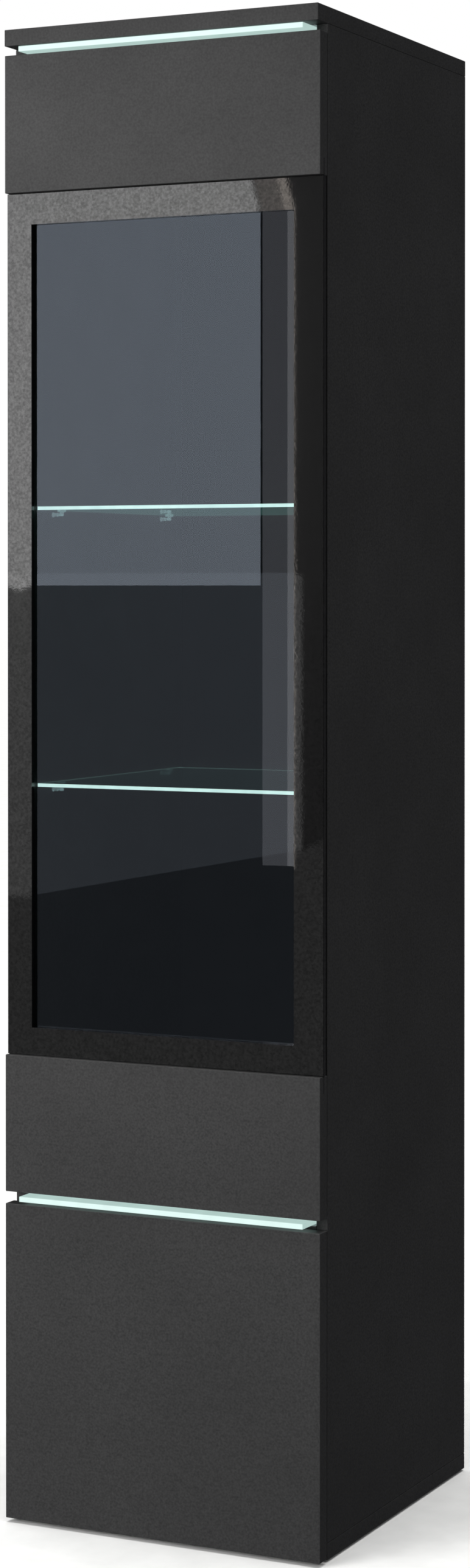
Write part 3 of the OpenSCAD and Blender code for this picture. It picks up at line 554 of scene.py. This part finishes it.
boardPlan = [  # node, piece, material, body, slot
    ("top_board", "topBoard", "melamineCarcass", "root", "carcass_board"),
    ("bottom_board", "bottomBoard", "melamineCarcass", "root", "carcass_board"),
    ("left_side_panel", "leftSidePanel", "melamineCarcass", "root", "carcass_board"),
    ("right_side_panel", "rightSidePanel", "melamineCarcass", "root", "carcass_board"),
    ("divider_board", "dividerBoard", "melamineCarcass", "root", "carcass_board"),
    ("top_rail", "topRail", "melamineCarcass", "root", "carcass_board"),
    ("upper_door_top_panel", "upperDoorTopPanel", "lacqueredDoor", "upper_door", "door_board"),
    ("upper_door_bottom_panel", "upperDoorBottomPanel", "lacqueredDoor", "upper_door", "door_board"),
    ("lower_door_panel", "lowerDoorPanel", "lacqueredDoor", "lower_door", "door_board"),
]
for node, name, material, body, slot in boardPlan:
    mergedBoard(node, name, boardMaterials[material], body)
mergedBoard("glass_frame", "glassFrameBorder", frameEnamel, "upper_door")
print("boards ready:", len(boardPlan))

edgeRadius = {"pane": 0.5, "shelf": 0.7, "lightBar": 0.5}  # millimetres


def slabFor(node, name, radius, material, body):
    # a slab with rounded edges, radius in millimetres, that fills the node's box
    low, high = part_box(node)
    piece = roundedSlab(name, low, high, radius * mm)
    keepFlatFacesFlat(piece)
    takePlace(piece, node, material, body)
    return piece


slabFor("door_glass", "doorPane", edgeRadius["pane"], paneGlass, "upper_door")

# how strongly each side of a shelf takes the green edge tint and a painted glow; the undersides' painted
# glow stands in for the light of what is below them
shelfEdgeTintAndPaintedGlow = {"front": 1.0, "side": 0.5, "back": 0.6, "top": 0.01}
shelfUndersidePaintedLight = {"lower_glass_shelf": 0.02, "upper_glass_shelf": 0.13}
facing = {"y": 0.5, "z": 0.6}  # a normal's part past which a face counts as looking that way
for node, name in (("lower_glass_shelf", "lowerGlassShelf"), ("upper_glass_shelf", "upperGlassShelf")):
    shelf = slabFor(node, name, edgeRadius["shelf"], shelfGlass, "root")
    normals = faceNormals(shelf)
    rim = np.where(normals[:, 1] < -facing["y"], shelfEdgeTintAndPaintedGlow["front"], shelfEdgeTintAndPaintedGlow["side"])
    rim = np.where(normals[:, 1] > facing["y"], shelfEdgeTintAndPaintedGlow["back"], rim)
    rim = np.where(normals[:, 2] > facing["z"], shelfEdgeTintAndPaintedGlow["top"], rim)
    rim = np.where(normals[:, 2] < -facing["z"], shelfUndersidePaintedLight[node], rim)
    faceValues(shelf, "rim", rim)

for node, name in (("top_light_bar", "topLightBar"), ("lower_light_bar", "lowerLightBar")):
    bar = slabFor(node, name, edgeRadius["lightBar"], barAcrylic, "root")
    faceValues(bar, "front", np.clip(-faceNormals(bar)[:, 1], 0, 1))
print("glass ready")

perMetre = 1e5  # corners nearer than a hundredth of a millimetre count as one point


def solidBoxes(node):
    # Lowest and highest corner of each separate solid of a node: equal points share a number, and the
    # lowest number spreads over every triangle until nothing changes.
    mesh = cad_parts[node].data
    points = np.zeros(len(mesh.vertices) * 3, np.float32)
    mesh.vertices.foreach_get("co", points)
    corners = np.zeros(len(mesh.polygons) * 3, np.int32)
    mesh.polygons.foreach_get("vertices", corners)
    places, number = np.unique(np.round(points.reshape(-1, 3) * perMetre), axis=0, return_inverse=True)
    triangles = number.ravel()[corners.reshape(-1, 3)]
    label, before = np.arange(len(places)), None
    while before is None or (label != before).any():
        before = label.copy()
        for corner in range(3):
            np.minimum.at(label, triangles[:, corner], before[triangles].min(axis=1))
        label = label[label]
    solids = [places[label == one] for one in np.unique(label[triangles])]
    return [(solid.min(axis=0) / perMetre, solid.max(axis=0) / perMetre) for solid in solids]


def arc(centreR, centreH, radius, start, end, steps=5):
    # points (r, h) on a circle's arc, angles in degrees: the centre plus radius * (cos a, sin a)
    angle = np.radians(np.linspace(start, end, steps))
    return [(centreR + radius * math.cos(a), centreH + radius * math.sin(a)) for a in angle]


def turned(profile, columns, flute=None):
    # Turned shape from a profile of (r, h) in millimetres: p(i, u) = (r cos u, r sin u, h), where
    # flute(u) may scale r.
    rows = np.array(profile, float)
    u = np.linspace(0, 2 * np.pi, columns, endpoint=False)[None, :]
    r = rows[:, :1] * (np.ones_like(u) if flute is None else flute(u))
    points = np.stack([r * np.cos(u), r * np.sin(u), rows[:, 1:] + np.zeros_like(r)], -1) * mm
    return points.reshape(-1, 3), gridFaces(len(rows), columns)


def placed(surface, out, at):
    # the surface with its own Z turned to the direction out, moved to the point at
    points, faces = surface
    return points @ np.array(Vector(out).to_track_quat("Z", "Y").to_matrix()).T + np.asarray(at), faces


def joined(surfaces):
    # several surfaces as one array of points and one list of faces, whose numbers start after the
    # points of the surfaces before
    starts = np.cumsum([0] + [len(points) for points, quads in surfaces])
    faces = [start + np.array(quads) for start, (points, quads) in zip(starts, surfaces)]
    return np.vstack([points for points, quads in surfaces]), np.vstack(faces).tolist()


sharpTurn = 40  # degrees between two faces, past which the small hardware's edges stay sharp


def standFor(node, name, surfaces, material, body):
    # a new piece made of surfaces, in the place of a node
    piece = linkMesh(name, *joined(surfaces))
    piece.data.set_sharp_from_angle(angle=math.radians(sharpTurn))
    takePlace(piece, node, material, body)


# The small hardware's shapes, all in millimetres; columns is how many facets go round.
screwShape = {"shank": 1.75, "head": 3.5, "headHeight": 2.0, "crown": 2.7, "dome": 0.3, "brim": 0.8,
              "brimHeight": 0.9, "fillet": 0.1, "pitch": 1.4, "thread": 0.35, "neck": 1.2, "runIn": 0.8,
              "point": 3.0, "pointCurve": 0.7, "crossWidth": 0.42, "crossReach": 2.1, "crossDepth": 0.75,
              "crossSlope": 0.18, "crossEnd": 0.3, "crownRows": 15, "columns": 40, "rowsPerPitch": 5}


def screwSurface(length):
    # Pan-head screw along Z, seat at 0. Each row has a radius and a height, and u runs round it. The
    # crown is sunk where the point lies within crossWidth of the X or the Y axis. Below the neck the
    # radius swings with 2 pi h / pitch + u, which winds the thread, and shrinks to the point.
    look = screwShape
    u = np.linspace(0, 2 * np.pi, look["columns"], endpoint=False)[None, :]
    crownR = np.linspace(0, look["crown"], look["crownRows"])[:, None] * np.ones_like(u)
    crownH = look["headHeight"] - look["dome"] * (crownR / look["crown"]) ** 2
    across = np.minimum(np.abs(crownR * np.cos(u)), np.abs(crownR * np.sin(u)))
    side = np.clip((look["crossWidth"] - across) / look["crossSlope"], 0, 1)
    reach = np.clip((look["crossReach"] - crownR) / look["crossEnd"], 0, 1)
    crownH = crownH - look["crossDepth"] * side * reach
    brim = arc(look["crown"], look["brimHeight"], look["brim"], 90, 0, 6)
    rim = np.array(brim + [(look["head"], 0.0), (look["shank"] + look["fillet"], 0.0)])
    threadH = np.linspace(0, -length, int(length / look["pitch"] * look["rowsPerPitch"]) + 1)[:, None]
    swing = 0.5 - 0.5 * np.cos(2 * np.pi * threadH / look["pitch"] + u)
    cut = look["thread"] * np.clip((-threadH - look["neck"]) / look["runIn"], 0, 1)
    point = np.clip((threadH + length) / look["point"], 0, 1) ** look["pointCurve"]
    threadR = (look["shank"] - cut * swing) * point
    r = np.vstack([crownR, rim[:, :1] + 0 * u, threadR])
    h = np.vstack([crownH, rim[:, 1:] + 0 * u, threadH + 0 * u])
    points = np.stack([r * np.cos(u), r * np.sin(u), h], -1) * mm
    return points.reshape(-1, 3), gridFaces(len(r), look["columns"])


screwSets = [  # node, piece, direction of the head, body
    ("driver_screws", "driverScrews", (0, 0, -1), "root"),
    ("hinge_plate_screws", "hingePlateScrews", (1, 0, 0), "root"),
    ("latch_screws", "latchScrews", (-1, 0, 0), "root"),
    ("back_panel_screws", "backPanelScrews", (0, 1, 0), "root"),
    ("bracket_screw", "bracketScrew", (0, 0, -1), "root"),
    ("upper_cup_screws", "upperCupScrews", (0, 1, 0), "upper_door"),
    ("lower_cup_screws", "lowerCupScrews", (0, 1, 0), "lower_door"),
]
for node, name, out, body in screwSets:
    screws = []
    for low, high in solidBoxes(node):
        half = abs(np.dot(high - low, out)) / 2
        length = 2 * half / mm - screwShape["headHeight"]
        seat = (low + high) / 2 + np.array(out) * (half - screwShape["headHeight"] * mm)
        screws.append(placed(screwSurface(length), out, seat))
    standFor(node, name, screws, smallMaterials["zincPlatedScrew"], body)
print("screws ready")

dowelShape = {"chamfer": 0.9, "flutes": 16, "fluteDepth": 0.07, "columns": 96}


def fluted(u):
    # the radius dips by fluteDepth, as a share of it, with every second half wave of cos(flutes u)
    return 1 - dowelShape["fluteDepth"] * np.clip(np.cos(dowelShape["flutes"] * u), 0, 1)


dowels = []
for low, high in solidBoxes("dowels"):
    # fluted beech dowel: a cylinder whose radius dips along flutes, with chamfered ends
    axis = int(np.argmax(high - low))
    length, radius = (high - low)[axis] / mm, (high - low)[axis - 1] / mm / 2
    chamfer = dowelShape["chamfer"]
    profile = [(0, 0), (radius - chamfer, 0), (radius, chamfer), (radius, length / 2),
               (radius, length - chamfer), (radius - chamfer, length), (0, length)]
    start = (low + high) / 2
    start[axis] = low[axis]
    dowels.append(placed(turned(profile, dowelShape["columns"], fluted), np.eye(3)[axis], start))
standFor("dowels", "flutedDowels", dowels, smallMaterials["turnedBeech"], "root")

plungerShape = {"tip": 3.2, "dome": 1.2, "domeRows": 9, "step": 2.0, "stem": 4.0, "shoulder": 0.3,
                "grooves": (30, 33.5), "groove": 0.4, "grooveMouth": 0.5, "grooveFloor": 0.3,
                "chamfer": 0.8, "columns": 40}
plungers = [("upper_door_top_plunger", "upperTopPlunger", "upper_top_plunger"),
            ("upper_door_bottom_plunger", "upperBottomPlunger", "upper_bottom_plunger"),
            ("lower_door_plunger", "lowerPlunger", "lower_plunger")]
for node, name, body in plungers:
    # turned stem with a domed tip and two ring grooves near its tail
    low, high = (np.array(corner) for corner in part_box(node))
    length, look = (high - low)[1] / mm, plungerShape
    tip, dome, stem, step = look["tip"], look["dome"], look["stem"], look["step"]
    domeR = np.sin(np.linspace(0, np.pi / 2, look["domeRows"])) * tip
    profile = [(r, dome - dome * math.sqrt(max(0.0, 1 - (r / tip) ** 2))) for r in domeR]
    profile += [(tip, step), (stem - look["shoulder"], step), (stem, step + look["shoulder"])]
    mouth, floorHalf, sunk = look["grooveMouth"], look["grooveFloor"], stem - look["groove"]
    for groove in look["grooves"]:
        profile += [(stem, groove - mouth), (sunk, groove - floorHalf),
                    (sunk, groove + floorHalf), (stem, groove + mouth)]
    profile += [(stem, length - look["chamfer"]), (stem - look["chamfer"], length), (0, length)]
    at = ((low + high) / 2 * np.array([1, 0, 1])) + low * np.array([0, 1, 0])
    standFor(node, name, [placed(turned(profile, look["columns"]), (0, 1, 0), at)],
             smallMaterials["acetalWhite"], body)

glideShape = {"radius": 11.0, "height": 3.0, "hollow": [(0, 0.5), (5.5, 0.45), (7, 0)], "soleRound": 1.2,
              "topRound": 0.7, "pin": 1.0, "pinFoot": 0.6, "pinFootHeight": 0.3, "pinPoint": 2.5,
              "columns": 48}
glides = []
for low, high in solidBoxes("glides"):
    # moulded foot: hollowed sole, rounded rim, flat top and the nail that holds it
    look, tall = glideShape, (high - low)[2] / mm
    radius, height, pin = look["radius"], look["height"], look["pin"]
    sole, edge = look["soleRound"], look["topRound"]
    profile = look["hollow"] + arc(radius - sole, sole, sole, -90, 0)
    profile += arc(radius - edge, height - edge, edge, 0, 90)
    profile += [(pin + look["pinFoot"], height), (pin, height + look["pinFootHeight"]),
                (pin, tall - look["pinPoint"]), (0, tall)]
    at = ((low + high) / 2 * np.array([1, 1, 0])) + low * np.array([0, 0, 1])
    glides.append(placed(turned(profile, look["columns"]), (0, 0, 1), at))
standFor("glides", "nailGlides", glides, smallMaterials["mouldedPolyamide"], "root")

grommetShape = {"bore": 9.0, "boreRound": 1.2, "sleeve": 12.0, "lip": 1.5, "lipRound": 1.1, "columns": 64}
low, high = (np.array(corner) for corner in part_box("cable_grommet"))
lipR, deep = (high - low)[0] / mm / 2, (high - low)[1] / mm
bore, sleeve, lip = grommetShape["bore"], grommetShape["sleeve"], grommetShape["lip"]
inner, outer = grommetShape["boreRound"], grommetShape["lipRound"]
# one closed section carried round: rounded bore edges, rounded lips, sleeve between the lips
section = arc(bore + inner, inner, inner, 180, 270) + arc(lipR - outer, outer, outer, -90, 0)
section += [(lipR, lip), (sleeve, lip), (sleeve, deep - lip), (lipR, deep - lip)]
section += arc(lipR - outer, deep - outer, outer, 0, 90) + arc(bore + inner, deep - inner, inner, 90, 180)
section.append(section[0])
at = ((low + high) / 2 * np.array([1, 0, 1])) + low * np.array([0, 1, 0])
standFor("cable_grommet", "cableGrommet", [placed(turned(section, grommetShape["columns"]), (0, 1, 0), at)],
         smallMaterials["mouldedPolyamide"], "root")

supportShape = {"inPanel": 8.0, "pin": 2.5, "pinNose": 1.2, "pinDrop": 0.5, "pinColumns": 36,
                "collar": 3.3, "collarThick": 2.0, "collarInner": 0.4, "collarOuter": 0.6, "neck": 1.7,
                "post": 3.0, "postFoot": 1.0, "postRound": 0.5,
                "pad": 6.0, "padThick": 2.0, "padUnder": 0.8, "padTop": 0.6, "padColumns": 48}
for node, name in (("lower_shelf_supports", "lowerShelfSupports"),
                   ("upper_shelf_supports", "upperShelfSupports")):
    # clear shelf support: a pin with a round nose, a collar on the panel, a short post and a round pad
    look, supports = supportShape, []
    pin, nose, neck, post, foot = (look[key] for key in ("pin", "pinNose", "neck", "post", "postRound"))
    collar, inner, outer = look["collar"], look["collarInner"], look["collarOuter"]
    panelFace, collarFace = look["inPanel"], look["inPanel"] + look["collarThick"]
    pad, thick, under, edge = (look[key] for key in ("pad", "padThick", "padUnder", "padTop"))
    for low, high in solidBoxes(node):
        inward = 1 if low[0] < 0 else -1
        wide, tall = (high - low)[0] / mm, (high - low)[2] / mm
        start = np.array([low[0] if inward > 0 else high[0], (low[1] + high[1]) / 2,
                          low[2] + (pin + look["pinDrop"]) * mm])
        pinProfile = [(0, 0)] + arc(pin - nose, nose, nose, -90, 0)
        pinProfile += [(pin, panelFace), (collar - inner, panelFace)]
        pinProfile += arc(collar - inner, panelFace + inner, inner, -90, 0, 3)
        pinProfile += arc(collar - outer, collarFace - outer, outer, 0, 90, 4)
        pinProfile += [(pin, collarFace), (pin, wide - 2 * pad), (neck, wide - 2 * pad),
                       (neck, wide - pad), (0, wide - pad)]
        supports.append(placed(turned(pinProfile, look["pinColumns"]), (inward, 0, 0), start))
        middle = np.array([start[0] + inward * (wide - pad) * mm, start[1],
                           low[2] + look["postFoot"] * mm])
        top = tall - look["postFoot"]
        padProfile = [(0, 0)] + arc(post - foot, foot, foot, -90, 0, 4) + [(post, top - thick)]
        padProfile += arc(pad - under, top - thick + under, under, -90, 0, 4)
        padProfile += arc(pad - edge, top - edge, edge, 0, 90, 4) + [(0, top)]
        supports.append(placed(turned(padProfile, look["padColumns"]), (0, 0, 1), middle))
    standFor(node, name, supports, smallMaterials["clearPolycarbonate"], "root")
print("small hardware ready")

finishes = {
    "hardboardBack": ["back_panel"],
    "gasketRubber": ["glass_gasket"],
    "anodisedAluminium": ["top_light_channel", "lower_light_channel"],
    "ledTape": ["top_led_strip", "lower_led_strip"],
    "mouldedAbsWhite": ["led_driver"],
    "mouldedPolyamide": ["latch_housings"],
    "nickelPlatedSteel": ["hinge_plates", "hinge_arms", "upper_hinge_cups", "lower_hinge_cups",
                          "upper_hinge_links", "lower_hinge_links", "upper_strike_plates",
                          "lower_strike_plate", "wall_bracket"],
    "dieCastZinc": ["cam_locks"],
    "yellowZincBolt": ["cam_bolts"],
}
for finish, nodes in finishes.items():
    for node in nodes:
        paint(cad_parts[node], boardMaterials.get(finish) or smallMaterials[finish])
print("finishes ready")
